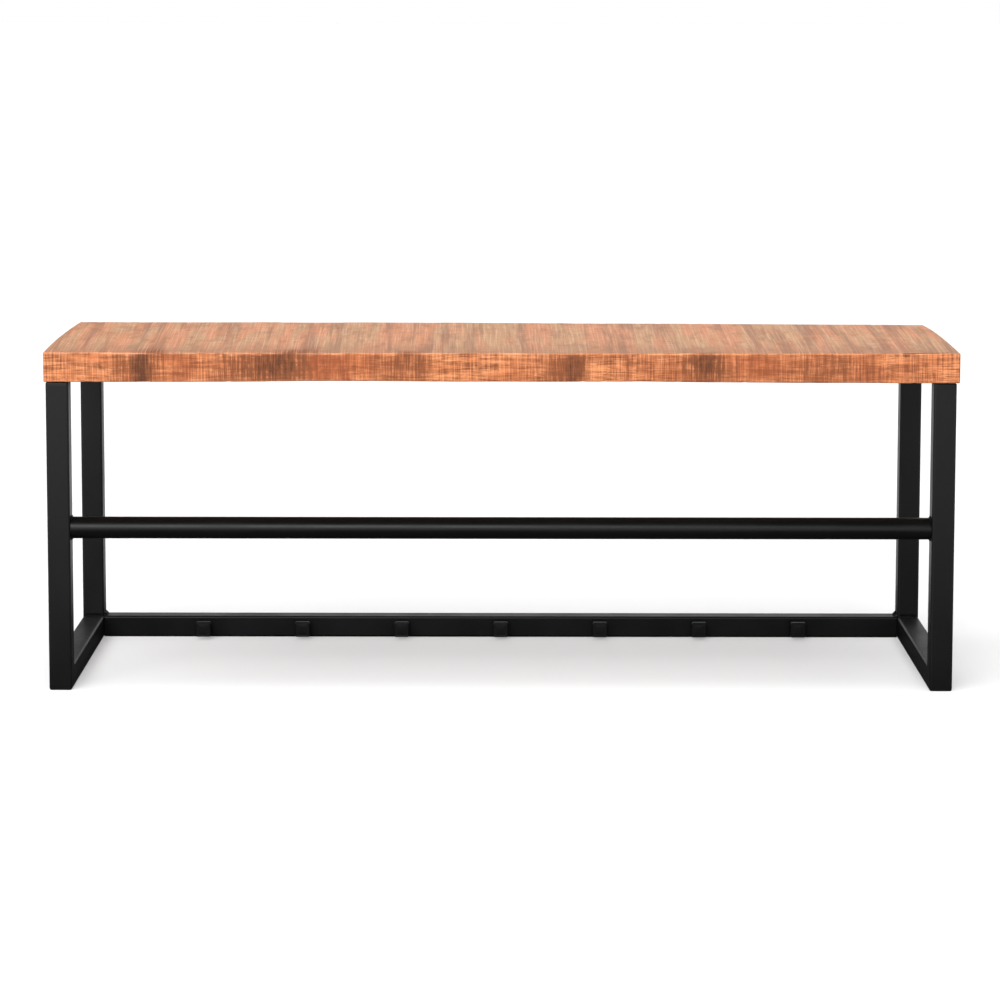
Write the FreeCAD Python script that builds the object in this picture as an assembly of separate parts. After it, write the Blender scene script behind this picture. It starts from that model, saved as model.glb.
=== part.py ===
import FreeCAD, Part
import os

# A coat rack with a thick wooden shelf on an open frame of square steel tube:
# a hanging rod across the front, and a low rail with seven square-headed pegs at the back.
# X runs from left to right, Y from front to back, Z up, all in millimetres.
# The origin is under the middle of the rack, on the surface that it stands on.

# overall sizes
frame_width = 990.0
post_height = 340.0
back_plane = 170.0
frame_front = -167.0

# square tube of the frame
tube_side = 25.0
tube_wall = 1.5
tube_radius = 2.5
mitre_margin = 5.0

# wooden shelf
slab_front = -170.0
slab_back = 168.0
slab_corner_half_width = 498.0
slab_end_bow = 2.0
slab_thickness = 33.0
slab_corner_radius = 2.5
slab_edge_radius = 1.2

# plates that close the tops of the posts
cap_thickness = 3.0
cap_edge_radius = 2.2

# flat straps under the shelf, and their wood screws
strap_thickness = 3.0
strap_width = 20.0
strap_hole_radius = 2.5
screws_per_strap = 3
screw_end_distance = 38.0
screw_shank_radius = 2.0
screw_shank_length = 24.0
screw_tip_length = 4.0
screw_head_radius = 4.0
screw_head_height = 2.4
screw_head_rounding = 1.2

# flat strap at the back that takes the wall screws
wall_strap_height = 25.0
wall_strap_setback = 3.0
wall_hole_spacing = 700.0
wall_hole_radius = 3.25

# round hanging rod
rod_radius = 12.0
rod_wall = 1.5
rod_height = 178.5
rod_bead_leg = 2.2
rod_bead_half_length = 9.0

# hook rail beads
rail_bead_leg = 4.5

# pegs on the hook rail
peg_count = 7
peg_spacing = 117.0
peg_height = 12.5
peg_reach = 20.0
peg_head_side = 18.0
peg_head_thickness = 6.0
peg_corner_radius = 2.0
peg_front_radius = 1.8
peg_pin_radius = 4.5

# positions that follow from the sizes above
inner_face = frame_width / 2 - tube_side
post_centre_x = frame_width / 2 - tube_side / 2
front_post_centre_y = frame_front + tube_side / 2
rear_post_centre_y = back_plane - tube_side / 2
front_post_back = frame_front + tube_side
rear_post_front = back_plane - tube_side
sides = {"left": -1, "right": 1}


def save(shape, name):
    """Write one sub-part to its own file."""
    shape.exportStep("parts/" + name + ".step")
    print(name, "solids", len(shape.Solids), "volume", round(shape.Volume, 1))


def rounded_square(side, radius):
    """Closed wire of a square with rounded corners, centred on the origin in XY."""
    square = Part.makePlane(side, side, FreeCAD.Vector(-side / 2, -side / 2, 0))
    block = square.extrude(FreeCAD.Vector(0, 0, side))
    upright = [edge for edge in block.Edges if abs(edge.tangentAt(edge.FirstParameter).z) > 0.5]
    rounded = block.makeFillet(radius, upright)
    bottom = min(rounded.Faces, key=lambda face: face.CenterOfMass.z)
    return bottom.OuterWire


def square_tube(length):
    """Hollow square tube that stands on the origin and rises along Z."""
    outer = Part.Face(rounded_square(tube_side, tube_radius))
    inner = Part.Face(rounded_square(tube_side - 2 * tube_wall, tube_radius - tube_wall))
    along = FreeCAD.Vector(0, 0, length)
    return outer.extrude(along).cut(inner.extrude(along))


def turned(shape, axis, angle):
    """Copy of the shape turned about an axis through the origin."""
    result = shape.copy()
    result.rotate(FreeCAD.Vector(0, 0, 0), axis, angle)
    return result


def moved(shape, x, y, z):
    """Copy of the shape moved by x, y and z."""
    result = shape.copy()
    result.translate(FreeCAD.Vector(x, y, z))
    return result


def corner_wedge(corner_y, into, upper):
    """Prism on one side of the 45 degree mitre plane that starts at a lower corner of the side frame.

    The plane rises from corner_y on the floor, and into is +1 or -1, the way towards the middle.
    The prism lies above the plane if upper is true, and below it if not.
    """
    low = -mitre_margin
    high = tube_side + mitre_margin
    start = FreeCAD.Vector(-frame_width, corner_y + into * low, low)
    end = FreeCAD.Vector(-frame_width, corner_y + into * high, high)
    if upper:
        third = FreeCAD.Vector(-frame_width, corner_y + into * low, high)
    else:
        third = FreeCAD.Vector(-frame_width, corner_y + into * high, low)
    outline = Part.makePolygon([start, end, third, start])
    return Part.Face(outline).extrude(FreeCAD.Vector(2 * frame_width, 0, 0))


def make_post(side, centre_y, corner_y, into):
    """Upright tube, mitred at its foot against the side rail."""
    tube = moved(square_tube(post_height - cap_thickness), side * post_centre_x, centre_y, 0)
    return tube.cut(corner_wedge(corner_y, into, False))


def make_side_rail(side):
    """Tube from front to back along the floor, mitred at both ends."""
    along_y = turned(square_tube(back_plane - frame_front), FreeCAD.Vector(1, 0, 0), -90)
    tube = moved(along_y, side * post_centre_x, frame_front, tube_side / 2)
    tube = tube.cut(corner_wedge(frame_front, 1, True))
    return tube.cut(corner_wedge(back_plane, -1, True))


def make_post_cap(side, centre_y):
    """Plate welded on the open top of a post, its upper edges ground round."""
    blank = Part.Face(rounded_square(tube_side, tube_radius)).extrude(FreeCAD.Vector(0, 0, cap_thickness))
    rim = [edge for edge in blank.Edges if edge.BoundBox.ZMin > cap_thickness / 2]
    plate = blank.makeFillet(cap_edge_radius, rim)
    return moved(plate, side * post_centre_x, centre_y, post_height - cap_thickness)


def screw_places(side):
    """Axis positions of the wood screws of one strap."""
    first = front_post_back + screw_end_distance
    last = rear_post_front - screw_end_distance
    step = (last - first) / (screws_per_strap - 1)
    return [(side * post_centre_x, first + step * index) for index in range(screws_per_strap)]


def make_slab_strap(side):
    """Flat bar between the tops of the front and rear posts, drilled for the wood screws."""
    length = rear_post_front - front_post_back
    left_edge = side * post_centre_x - strap_width / 2
    underside = post_height - strap_thickness
    corner = FreeCAD.Vector(left_edge, front_post_back, underside)
    strap = Part.makeBox(strap_width, length, strap_thickness, corner)
    for x, y in screw_places(side):
        foot = FreeCAD.Vector(x, y, underside)
        strap = strap.cut(Part.makeCylinder(strap_hole_radius, strap_thickness, foot))
    return strap


def make_wood_screw():
    """Pan-head screw pointing up, its head's bearing face on the plane Z = 0."""
    head = Part.makeCylinder(screw_head_radius, screw_head_height, FreeCAD.Vector(0, 0, -screw_head_height))
    rim = [edge for edge in head.Edges if edge.BoundBox.ZMax < -screw_head_height / 2]
    head = head.makeFillet(screw_head_rounding, rim)
    straight = screw_shank_length - screw_tip_length
    shank = Part.makeCylinder(screw_shank_radius, straight)
    tip = Part.makeCone(screw_shank_radius, 0, screw_tip_length, FreeCAD.Vector(0, 0, straight))
    return head.fuse([shank, tip]).removeSplitter()


def make_slab_screws(side):
    """The wood screws of one strap, as separate solids."""
    screw = make_wood_screw()
    underside = post_height - strap_thickness
    return [moved(screw, x, y, underside) for x, y in screw_places(side)]


def make_slab(screws):
    """Wooden shelf with slightly bowed ends, eased edges and a pilot hole round each screw."""
    middle_y = (slab_front + slab_back) / 2
    widest = slab_corner_half_width + slab_end_bow
    front_left = FreeCAD.Vector(-slab_corner_half_width, slab_front, post_height)
    front_right = FreeCAD.Vector(slab_corner_half_width, slab_front, post_height)
    back_right = FreeCAD.Vector(slab_corner_half_width, slab_back, post_height)
    back_left = FreeCAD.Vector(-slab_corner_half_width, slab_back, post_height)
    front_edge = Part.LineSegment(front_left, front_right).toShape()
    right_end = Part.Arc(front_right, FreeCAD.Vector(widest, middle_y, post_height), back_right).toShape()
    back_edge = Part.LineSegment(back_right, back_left).toShape()
    left_end = Part.Arc(back_left, FreeCAD.Vector(-widest, middle_y, post_height), front_left).toShape()
    outline = Part.Wire([front_edge, right_end, back_edge, left_end])
    slab = Part.Face(outline).extrude(FreeCAD.Vector(0, 0, slab_thickness))
    upright = [edge for edge in slab.Edges if edge.BoundBox.ZLength > slab_thickness / 2]
    slab = slab.makeFillet(slab_corner_radius, upright)
    flat = [edge for edge in slab.Edges if edge.BoundBox.ZLength < slab_thickness / 2]
    slab = slab.makeFillet(slab_edge_radius, flat)
    return slab.cut(screws)


def make_wall_strap():
    """Flat bar between the rear posts, close under the shelf, with a screw hole near each end."""
    top = post_height - cap_thickness
    back = back_plane - wall_strap_setback
    corner = FreeCAD.Vector(-inner_face, back - strap_thickness, top - wall_strap_height)
    strap = Part.makeBox(2 * inner_face, strap_thickness, wall_strap_height, corner)
    for side in sides.values():
        hole_x = side * wall_hole_spacing / 2
        start = FreeCAD.Vector(hole_x, back - strap_thickness, top - wall_strap_height / 2)
        hole = Part.makeCylinder(wall_hole_radius, strap_thickness, start, FreeCAD.Vector(0, 1, 0))
        strap = strap.cut(hole)
    return strap


def make_rod():
    """Round tube between the inner faces of the front posts."""
    start = FreeCAD.Vector(-inner_face, front_post_centre_y, rod_height)
    along = FreeCAD.Vector(1, 0, 0)
    outer = Part.makeCylinder(rod_radius, 2 * inner_face, start, along)
    return outer.cut(Part.makeCylinder(rod_radius - rod_wall, 2 * inner_face, start, along))


def make_rod_beads(side):
    """Fillet welds over and under one end of the rod."""
    face_x = side * inner_face
    centre = FreeCAD.Vector(face_x, front_post_centre_y, rod_height)
    along = FreeCAD.Vector(-side, 0, 0)
    cone = Part.makeCone(rod_radius + rod_bead_leg, rod_radius, rod_bead_leg, centre, along)
    ring = cone.cut(Part.makeCylinder(rod_radius, rod_bead_leg, centre, along))
    reach = rod_radius + rod_bead_leg
    corner = FreeCAD.Vector(face_x - reach, front_post_centre_y - rod_bead_half_length, rod_height - reach)
    return ring.common(Part.makeBox(2 * reach, 2 * rod_bead_half_length, 2 * reach, corner))


def make_hook_rail():
    """Square tube between the feet of the rear posts."""
    along_x = turned(square_tube(2 * inner_face), FreeCAD.Vector(0, 1, 0), 90)
    return moved(along_x, -inner_face, rear_post_centre_y, tube_side / 2)


def make_rail_bead(side):
    """Fillet weld in the corner between the hook rail's top and a rear post."""
    start_y = rear_post_front + tube_radius
    length = tube_side - 2 * tube_radius
    corner = FreeCAD.Vector(side * inner_face, start_y, tube_side)
    inward = FreeCAD.Vector(side * (inner_face - rail_bead_leg), start_y, tube_side)
    upward = FreeCAD.Vector(side * inner_face, start_y, tube_side + rail_bead_leg)
    outline = Part.makePolygon([corner, inward, upward, corner])
    return Part.Face(outline).extrude(FreeCAD.Vector(0, length, 0))


def peg_x(index):
    """Middle of a peg, numbered from the left."""
    return (index - (peg_count - 1) / 2) * peg_spacing


def make_peg_pin(index):
    """Round pin that carries the peg's head in front of the hook rail."""
    length = peg_reach - peg_head_thickness
    start = FreeCAD.Vector(peg_x(index), rear_post_front - length, peg_height)
    return Part.makeCylinder(peg_pin_radius, length, start, FreeCAD.Vector(0, 1, 0))


def make_peg_head(index):
    """Square plate with rounded corners, its front edges eased."""
    blank = Part.Face(rounded_square(peg_head_side, peg_corner_radius))
    plate = blank.extrude(FreeCAD.Vector(0, 0, peg_head_thickness))
    rim = [edge for edge in plate.Edges if edge.BoundBox.ZMin > peg_head_thickness / 2]
    plate = turned(plate.makeFillet(peg_front_radius, rim), FreeCAD.Vector(1, 0, 0), 90)
    back = rear_post_front - peg_reach + peg_head_thickness
    return moved(plate, peg_x(index), back, peg_height)


os.makedirs("parts", exist_ok=True)

all_screws = []
for side_name, side in sides.items():
    save(make_post(side, front_post_centre_y, frame_front, 1), "front_post_" + side_name)
    save(make_post(side, rear_post_centre_y, back_plane, -1), "rear_post_" + side_name)
    save(make_post_cap(side, front_post_centre_y), "front_post_cap_" + side_name)
    save(make_post_cap(side, rear_post_centre_y), "rear_post_cap_" + side_name)
    save(make_side_rail(side), "side_rail_" + side_name)
    save(make_slab_strap(side), "slab_strap_" + side_name)
    side_screws = make_slab_screws(side)
    all_screws.extend(side_screws)
    save(Part.makeCompound(side_screws), "slab_screws_" + side_name)
    save(make_rod_beads(side), "rod_weld_" + side_name)
    save(make_rail_bead(side), "hook_rail_weld_" + side_name)

save(make_slab(all_screws), "shelf_slab")
save(make_wall_strap(), "rear_wall_strap")
save(make_rod(), "hanging_rod")
save(make_hook_rail(), "hook_rail")
for index in range(peg_count):
    save(make_peg_pin(index), "peg_pin_" + str(index + 1))
    save(make_peg_head(index), "peg_head_" + str(index + 1))
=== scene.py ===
from math import pi, radians
import bmesh
import bpy
import numpy as np
from mathutils import Euler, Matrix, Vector


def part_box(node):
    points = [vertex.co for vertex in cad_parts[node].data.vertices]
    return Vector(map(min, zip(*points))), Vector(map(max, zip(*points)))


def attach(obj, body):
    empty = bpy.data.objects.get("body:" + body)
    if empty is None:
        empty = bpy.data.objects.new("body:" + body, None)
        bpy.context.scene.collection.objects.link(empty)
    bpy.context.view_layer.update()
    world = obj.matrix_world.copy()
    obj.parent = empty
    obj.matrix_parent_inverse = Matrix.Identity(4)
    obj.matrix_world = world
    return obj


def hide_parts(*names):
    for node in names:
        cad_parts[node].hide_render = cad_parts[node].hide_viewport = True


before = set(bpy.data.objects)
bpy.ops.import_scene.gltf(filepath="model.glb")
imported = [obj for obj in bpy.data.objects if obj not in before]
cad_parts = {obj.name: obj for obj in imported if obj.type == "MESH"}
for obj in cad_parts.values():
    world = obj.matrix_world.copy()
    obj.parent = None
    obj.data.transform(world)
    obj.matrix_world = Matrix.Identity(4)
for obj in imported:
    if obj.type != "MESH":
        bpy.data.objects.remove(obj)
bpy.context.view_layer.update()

mm = 0.001
sides = {"left": -1, "right": 1}
xAxis, yAxis, zAxis = np.eye(3)


# shapes as whole arrays

def smoothNoise(x, pitch, seed):
    # random heights at points one pitch apart, joined by a cosine curve; the answer lies in -1 to 1
    heights = np.random.default_rng(seed).uniform(-1, 1, 4096)
    place = np.asarray(x) / pitch + 2048
    cell = np.floor(place).astype(int)
    blend = (1 - np.cos(pi * (place - cell))) / 2
    return heights[cell % 4096] * (1 - blend) + heights[(cell + 1) % 4096] * blend


def outline(halfA, halfB, radius, alongA, alongB, arcSteps=8, alongBottom=None):
    # rectangle with round corners, anticlockwise from the top end of its right side: each corner is
    # a quarter circle, and each side runs straight between two of them at the given fractions
    # halfA, halfB and radius may be rows of numbers, and then each one gives an outline of its own
    sizes = [np.atleast_1d(size).astype(float) for size in (halfA, halfB, radius)]
    halfA, halfB, radius = (size[:, None] for size in np.broadcast_arrays(*sizes))
    turn = np.linspace(0, pi / 2, arcSteps + 1)[None, :]
    signs = [(1, 1), (-1, 1), (-1, -1), (1, -1)]
    arcs = []
    for quarter, (signA, signB) in enumerate(signs):
        angle = turn + quarter * pi / 2
        arcs.append((signA * (halfA - radius) + radius * np.cos(angle),
                     signB * (halfB - radius) + radius * np.sin(angle)))
    bottom = alongA if alongBottom is None else alongBottom
    partsA, partsB, curved = [], [], []
    for quarter in range(4):
        here, after = arcs[quarter], arcs[(quarter + 1) % 4]
        share = np.asarray((alongA, alongB, bottom, alongB)[quarter], float)[None, :]
        share = share if quarter < 2 else 1 - share[:, ::-1]
        partsA += [here[0], here[0][:, -1:] * (1 - share) + after[0][:, :1] * share]
        partsB += [here[1], here[1][:, -1:] * (1 - share) + after[1][:, :1] * share]
        curved += [np.ones(arcSteps + 1), np.zeros(share.shape[1])]
    return np.hstack(partsA), np.hstack(partsB), np.concatenate(curved)


def asArrays(box):
    # both corners of a box, ready for whole-array sums
    return [np.array(corner) for corner in box]


def circle(around):
    # angles round a full turn
    return np.linspace(0, 2 * pi, around, endpoint=False)[None, :]


def shell(a, b, c, origin, axisA, axisB, axisC):
    # point = origin + a axisA + b axisB + c axisC, for whole grids of a, b and c
    a, b, c = np.broadcast_arrays(a, b, c)
    return np.asarray(origin) + a[..., None] * axisA + b[..., None] * axisB + c[..., None] * axisC


def closedFaces(points):
    # rings joined by quads, and both end rings closed by a fan round their middle
    rows, cols = points.shape[:2]
    ring = np.arange(rows - 1)[:, None] * cols
    this = np.arange(cols)[None, :]
    after = (this + 1) % cols
    quads = np.stack([ring + this, ring + after, ring + cols + after, ring + cols + this], -1)
    quads = quads.reshape(-1, 4)
    last = (rows - 1) * cols
    this, after = this[0], after[0]
    firstFan = np.stack([np.full(cols, rows * cols), after, this], -1)
    lastFan = np.stack([np.full(cols, rows * cols + 1), last + this, last + after], -1)
    return quads, np.vstack([firstFan, lastFan])


def closed(points, mask=0.0):
    # one closed shell for makePiece, turned right side out by the sign of its volume, which is
    # a sixth of the sum of p . (q x r) over its triangles
    quads, fans = closedFaces(points)
    flat = points.reshape(-1, 3)
    flat = np.vstack([flat, points[0].mean(0), points[-1].mean(0)])
    triangles = np.vstack([quads[:, [0, 1, 2]], quads[:, [0, 2, 3]], fans])
    p, q, r = flat[triangles].transpose(1, 0, 2)
    if np.einsum("ij,ij->i", p, np.cross(q, r)).sum() < 0:
        quads, fans = quads[:, ::-1], fans[:, ::-1]
    mask = np.broadcast_to(mask, points.shape[:2]).reshape(-1)
    return flat, quads, fans, np.concatenate([mask, [0.0, 0.0]])


def addObject(name, data):
    # an object at the scene's origin
    made = bpy.data.objects.new(name, data)
    bpy.context.scene.collection.objects.link(made)
    return made


def makePiece(name, parts, nodeName, material, mergeDoubles=False):
    # one mesh of all the shells, with the edge mask as an attribute
    # it takes the place of nodeName, or is an extra piece when there is none
    points = np.vstack([part[0] for part in parts])
    start = np.cumsum([0] + [len(part[0]) for part in parts])
    quads = np.vstack([part[1] + shift for part, shift in zip(parts, start)])
    fans = np.vstack([part[2] + shift for part, shift in zip(parts, start)])
    mesh = bpy.data.meshes.new(name)
    mesh.vertices.add(len(points))
    mesh.vertices.foreach_set("co", points.astype(np.float32).ravel())
    corners = np.concatenate([quads.ravel(), fans.ravel()]).astype(np.int32)
    counts = np.concatenate([np.full(len(quads), 4), np.full(len(fans), 3)]).astype(np.int32)
    mesh.loops.add(len(corners))
    mesh.loops.foreach_set("vertex_index", corners)
    mesh.polygons.add(len(counts))
    starts = np.concatenate([[0], np.cumsum(counts)[:-1]]).astype(np.int32)
    mesh.polygons.foreach_set("loop_start", starts)
    mesh.polygons.foreach_set("loop_total", counts)
    mesh.polygons.foreach_set("use_smooth", np.ones(len(counts), bool))
    rub = mesh.attributes.new("edgeMask", "FLOAT", "POINT")
    rub.data.foreach_set("value", np.concatenate([part[3] for part in parts]).astype(np.float32))
    mesh.update(calc_edges=True)
    if mergeDoubles:
        work = bmesh.new()
        work.from_mesh(mesh)
        bmesh.ops.remove_doubles(work, verts=work.verts, dist=1e-6)
        bmesh.ops.dissolve_degenerate(work, edges=work.edges, dist=1e-7)
        bmesh.ops.recalc_face_normals(work, faces=work.faces)
        work.to_mesh(mesh)
        work.free()
    mesh.validate()
    mesh.materials.append(material)
    piece = addObject(name, mesh)
    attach(piece, "root")
    if nodeName:
        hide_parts(nodeName)
    return piece


# node helpers

def addNode(tree, kind, inputs=None, **settings):
    # a node with its settings, then its inputs: a socket is linked, anything else is typed in
    made = tree.nodes.new(kind)
    for key, value in settings.items():
        setattr(made, key, value)
    for key, value in (inputs or {}).items():
        if isinstance(value, bpy.types.NodeSocket):
            tree.links.new(value, made.inputs[key])
        else:
            made.inputs[key].default_value = value
    return made


def newGroup(name, inputs, outputs):
    # an input is a number, or a vector when it has no value of its own, and every output is a number
    tree = bpy.data.node_groups.new(name, "ShaderNodeTree")
    for label, value in inputs.items():
        kind = "NodeSocketVector" if value is None else "NodeSocketFloat"
        socket = tree.interface.new_socket(label, in_out="INPUT", socket_type=kind)
        if value is not None:
            socket.default_value = value
    for label in outputs:
        tree.interface.new_socket(label, in_out="OUTPUT", socket_type="NodeSocketFloat")
    return tree, addNode(tree, "NodeGroupInput").outputs, addNode(tree, "NodeGroupOutput").inputs


def maths(tree, how, first, second=0.0, third=0.0):
    # one sum; the numbers may be sockets
    return addNode(tree, "ShaderNodeMath", {0: first, 1: second, 2: third}, operation=how).outputs[0]


def times(tree, first, second, added=0.0):
    # first x second + added
    return maths(tree, "MULTIPLY_ADD", first, second, added)


def spread(tree, value, low, high, toLow=0.0, toHigh=1.0, smooth=True):
    # the range low to high becomes toLow to toHigh, along an S curve or a straight line, and ends there
    made = addNode(tree, "ShaderNodeMapRange",
                   {"Value": value, "From Min": low, "From Max": high, "To Min": toLow, "To Max": toHigh},
                   interpolation_type="SMOOTHSTEP" if smooth else "LINEAR")
    return made.outputs["Result"]


def mixColour(tree, share, first, second):
    # first x (1 - share) + second x share
    return addNode(tree, "ShaderNodeMix", {0: share, 6: first, 7: second}, data_type="RGBA").outputs[2]


def layered(tree, colour, *layers):
    # each layer is (share, colour), and covers its share of what lies below it
    for share, over in layers:
        colour = mixColour(tree, share, colour, over)
    return colour


def stretched(tree, vector, scale, shift=(0, 0, 0)):
    # place x scale + shift
    inputs = {"Vector": vector, "Scale": scale, "Location": shift}
    return addNode(tree, "ShaderNodeMapping", inputs).outputs[0]


def noiseOf(tree, vector, scale=1.0, detail=2.0, rough=0.5, warp=0.0):
    # clouds about 1 / scale across; a stretched place makes them long or flat
    inputs = {"Vector": vector, "Scale": scale, "Detail": detail, "Roughness": rough, "Distortion": warp}
    return addNode(tree, "ShaderNodeTexNoise", inputs).outputs[0]


def axesOf(tree, vector):
    # x, y and z of a vector
    return addNode(tree, "ShaderNodeSeparateXYZ", {0: vector}).outputs


def scaledAxes(tree, axes, scales):
    # each of the three numbers times its own scale, joined again
    parts = {axis: times(tree, value, scale)
             for axis, (value, scale) in enumerate(zip(axes, scales))}
    return addNode(tree, "ShaderNodeCombineXYZ", parts).outputs[0]


def newMaterial(name, viewColour):
    # an empty material with its shader, and the place in the object's own coordinates
    material = bpy.data.materials.new(name)
    material.use_nodes = True
    material.diffuse_color = (*viewColour, 1)
    tree = material.node_tree
    tree.nodes.clear()
    surface = addNode(tree, "ShaderNodeBsdfPrincipled")
    addNode(tree, "ShaderNodeOutputMaterial", {"Surface": surface.outputs[0]})
    return material, tree, surface, addNode(tree, "ShaderNodeTexCoord").outputs["Object"]


def finish(tree, surface, look, colour, rough, height):
    # colour, roughness and the relief that the height makes go to the shader
    bump = addNode(tree, "ShaderNodeBump", {"Height": height, "Strength": look["reliefStrength"],
                                            "Distance": look["relief"]}).outputs[0]
    for value, socket in ((colour, "Base Color"), (rough, "Roughness"), (bump, "Normal")):
        tree.links.new(value, surface.inputs[socket])
    surface.inputs["Specular IOR Level"].default_value = look["gloss"]


def attribute(tree, name):
    # a mask that is kept on the mesh
    return addNode(tree, "ShaderNodeAttribute", attribute_name=name).outputs["Fac"]


def placeGroup(tree, group, inputs):
    # a shared effect, with its own numbers where they are given
    return addNode(tree, "ShaderNodeGroup", inputs, node_tree=group).outputs


# shared effects

def makeSawMarks():
    # blade marks stand across the board: a noise that is fine along X and long along Y and Z
    # the marks lean by the slant, and spread apart towards the back by the fan
    # x becomes x + waver + (y - front) x (slant - x fan)
    numbers = {"Vector": None, "Fine": 620.0, "Broad": 75.0, "Waver": 0.0007, "Slant": 0.008,
               "Fan": 0.10, "Front": -0.17}
    tree, given, out = newGroup("sawMarks", numbers, ("Lines", "Bands", "Height"))
    waver = noiseOf(tree, stretched(tree, given["Vector"], (3, 9, 14)), 1.0, 2.0)
    waver = times(tree, maths(tree, "SUBTRACT", waver, 0.5), given["Waver"])
    x, y, z = axesOf(tree, given["Vector"])
    behind = maths(tree, "SUBTRACT", y, given["Front"])
    fan = times(tree, x, given["Fan"])
    lean = times(tree, fan, -1.0, given["Slant"])
    x = times(tree, behind, lean, maths(tree, "ADD", x, waver))
    fine = noiseOf(tree, scaledAxes(tree, (x, y, z), (given["Fine"], 7.0, 26.0)), 1.0, 3.0, 0.62)
    broad = noiseOf(tree, scaledAxes(tree, (x, y, z), (given["Broad"], 1.6, 9.0)), 1.0, 3.0, 0.6)
    tree.links.new(spread(tree, fine, 0.34, 0.66), out["Lines"])
    tree.links.new(spread(tree, broad, 0.32, 0.68), out["Bands"])
    tree.links.new(times(tree, broad, 0.5, fine), out["Height"])
    return tree


def makeLongGrain():
    # grain runs along X: a noise that is long along X and fine across it, with short dark pores
    numbers = {"Vector": None, "Across": 330.0, "Along": 24.0, "Warp": 1.1}
    tree, given, out = newGroup("longGrain", numbers, ("Grain", "Pores"))
    scales = (given["Along"], given["Across"], given["Across"])
    grainAt = scaledAxes(tree, axesOf(tree, given["Vector"]), scales)
    poreAt = stretched(tree, grainAt, (7.0, 2.4, 2.4))
    grain = noiseOf(tree, grainAt, 1.0, 3.0, 0.55, given["Warp"])
    pores = noiseOf(tree, poreAt, 1.0, 1.0, 0.5)
    tree.links.new(spread(tree, grain, 0.3, 0.7), out["Grain"])
    tree.links.new(spread(tree, pores, 0.60, 0.70), out["Pores"])
    return tree


def makeCoatGrain():
    # powder coat: a low orange peel, and cloudy changes of gloss
    numbers = {"Vector": None, "Peel": 900.0, "Cloud": 14.0}
    tree, given, out = newGroup("coatGrain", numbers, ("Height", "Cloud", "Specks"))
    peel = noiseOf(tree, given["Vector"], given["Peel"], 2.0, 0.45)
    cloud = noiseOf(tree, given["Vector"], given["Cloud"], 4.0, 0.6)
    specks = noiseOf(tree, given["Vector"], 2600.0, 0.0)
    tree.links.new(peel, out["Height"])
    tree.links.new(spread(tree, cloud, 0.3, 0.7), out["Cloud"])
    tree.links.new(spread(tree, specks, 0.74, 0.82), out["Specks"])
    return tree


def makeDustFilm():
    # dust settles where a surface looks up, thinner where the cloudy noise is low
    numbers = {"Vector": None, "Normal": None, "Amount": 0.5}
    tree, given, out = newGroup("dustFilm", numbers, ("Mask",))
    lying = spread(tree, axesOf(tree, given["Normal"])[2], 0.55, 0.98)
    patch = noiseOf(tree, given["Vector"], 60.0, 4.0, 0.65)
    patch = spread(tree, patch, 0.35, 0.75, 0.35, 1.0)
    mask = times(tree, times(tree, lying, patch), given["Amount"])
    tree.links.new(mask, out["Mask"])
    return tree


sawMarks = makeSawMarks()
longGrain = makeLongGrain()
coatGrain = makeCoatGrain()
dustFilm = makeDustFilm()
print("shared effects made:", sawMarks.name, longGrain.name, coatGrain.name, dustFilm.name)


# finishes

def withAlpha(look):
    # every colour of three numbers gets a fourth, 1
    return {key: (*value, 1) if np.size(value) == 3 else value for key, value in look.items()}


blackCoat = {
    "colour": (0.0022, 0.0022, 0.0023),
    "dust": (0.035, 0.034, 0.033),
    "rubbed": (0.006, 0.006, 0.0062),
    "roughness": (0.32, 0.42),
    "gloss": 0.42,
    "relief": 0.04 * mm,
    "reliefStrength": 0.35,
    "rubShare": 0.5,             # how much of the rubbed colour shows on rounded edges
    "speckShare": 0.25,
    "dustDulls": 0.25,           # roughness that full dust adds
}


def makeBlackCoat(name, peel=900.0, dustAmount=0.35, roughShift=0.0):
    # black, turning a little paler on rubbed edges, in rare specks and under dust
    look = withAlpha(blackCoat)
    material, tree, surface, place = newMaterial(name, blackCoat["colour"])
    normal = addNode(tree, "ShaderNodeNewGeometry").outputs["Normal"]
    coat = placeGroup(tree, coatGrain, {"Vector": place, "Peel": peel})
    dust = placeGroup(tree, dustFilm, {"Vector": place, "Normal": normal, "Amount": dustAmount})
    edge = times(tree, attribute(tree, "edgeMask"), coat["Cloud"])
    colour = layered(tree, look["colour"],
                     (times(tree, edge, look["rubShare"]), look["rubbed"]),
                     (times(tree, coat["Specks"], look["speckShare"]), look["dust"]),
                     (dust["Mask"], look["dust"]))
    low, high = (value + roughShift for value in look["roughness"])
    rough = spread(tree, coat["Cloud"], 0.0, 1.0, low, high, False)
    rough = times(tree, dust["Mask"], look["dustDulls"], rough)
    finish(tree, surface, look, colour, rough, coat["Height"])
    return material


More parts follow.
